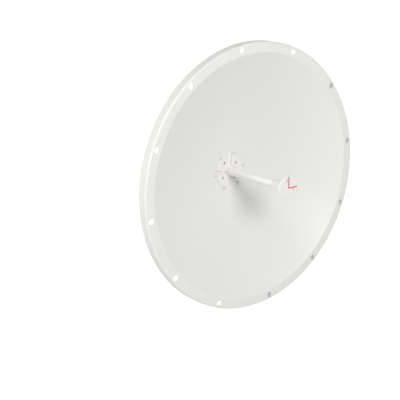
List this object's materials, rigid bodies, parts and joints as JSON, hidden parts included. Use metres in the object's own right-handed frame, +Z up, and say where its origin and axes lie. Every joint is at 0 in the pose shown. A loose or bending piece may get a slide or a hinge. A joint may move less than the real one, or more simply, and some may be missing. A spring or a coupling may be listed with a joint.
{
  "type": "parabolic dish antenna",
  "caption": "White solid parabolic dish antenna with a flat drilled rim, a central feed tube ending in a round disc, two rear RF ports, and a tilting galvanised bracket that clamps to a pole.",
  "frame": {"origin": "on the axis of the pole, midway between the upper and lower clamps", "axes": "+Z up along the pole; -Y is the boresight of the dish at rest; +X is to the right seen from in front of the dish"},
  "size_m": [0.65, 0.4668, 0.65],
  "materials": {
    "white_powder_coat": "smooth satin white powder coat",
    "coated_fasteners": "thin light grey coat on the screws in the bowl",
    "feed_plastic": "satin white moulded plastic",
    "red_print": "red printed film",
    "cast_aluminium": "sand-textured cast aluminium",
    "machined_aluminium": "fine-turned aluminium",
    "galvanised_steel": "hot-dip galvanised steel with a soft spangle",
    "zinc_plate": "bright zinc-plated steel",
    "stainless_steel": "turned stainless steel",
    "nickel_plate": "nickel-plated brass",
    "contact_gold": "gold-plated brass contact",
    "white_nylon": "natural nylon",
    "white_ptfe": "waxy white PTFE",
    "black_rubber": "matte black rubber",
    "circuit_board": "glass-epoxy board with solder mask"
  },
  "bodies": {
    "pole_mount": {"pole_bracket": "galvanised_steel", "upper_front_jaw": "cast_aluminium", "lower_front_jaw": "cast_aluminium", "clamp_washers": "zinc_plate", "spring_washers": "zinc_plate", "clamp_nuts": "zinc_plate", "pivot_bolts": "zinc_plate", "pivot_washers": "zinc_plate", "pivot_nuts": "zinc_plate"},
    "dish": {"reflector": "white_powder_coat", "hub_ring": "cast_aluminium", "hub_screws": "coated_fasteners", "hub_seals": "white_nylon", "hub_washers": "stainless_steel", "hub_nuts": "stainless_steel", "feed_flange": "feed_plastic", "feed_flange_screws": "stainless_steel", "feed_tube": "feed_plastic", "feed_cone": "feed_plastic", "end_cap": "feed_plastic", "subreflector": "machined_aluminium", "polarisation_mark": "red_print", "vertical_feed_board": "circuit_board", "horizontal_feed_board": "circuit_board", "housing_gasket": "black_rubber", "feed_housing": "machined_aluminium", "port_bodies": "nickel_plate", "port_insulators": "white_ptfe", "port_contacts": "contact_gold", "port_seals": "black_rubber", "port_nuts": "nickel_plate", "dish_bracket": "galvanised_steel", "lock_bolts": "zinc_plate", "lock_washers": "zinc_plate", "lock_nuts": "zinc_plate"},
    "upper_jaw": {"upper_rear_jaw": "cast_aluminium", "upper_clamp_bolts": "zinc_plate"},
    "lower_jaw": {"lower_rear_jaw": "cast_aluminium", "lower_clamp_bolts": "zinc_plate"}
  },
  "joints": [
    {"name": "elevation", "type": "hinge", "parent": "pole_mount", "child": "dish", "pos_m": [0, -0.105, -0.04], "axis": [-1, 0, 0], "range_deg": [-25, 25]},
    {"name": "upper_jaw_slide", "type": "slide", "parent": "pole_mount", "child": "upper_jaw", "axis": [0, 1, 0], "range_m": [0, 0.03]},
    {"name": "lower_jaw_slide", "type": "slide", "parent": "pole_mount", "child": "lower_jaw", "axis": [0, 1, 0], "range_m": [0, 0.03]}
  ]
}
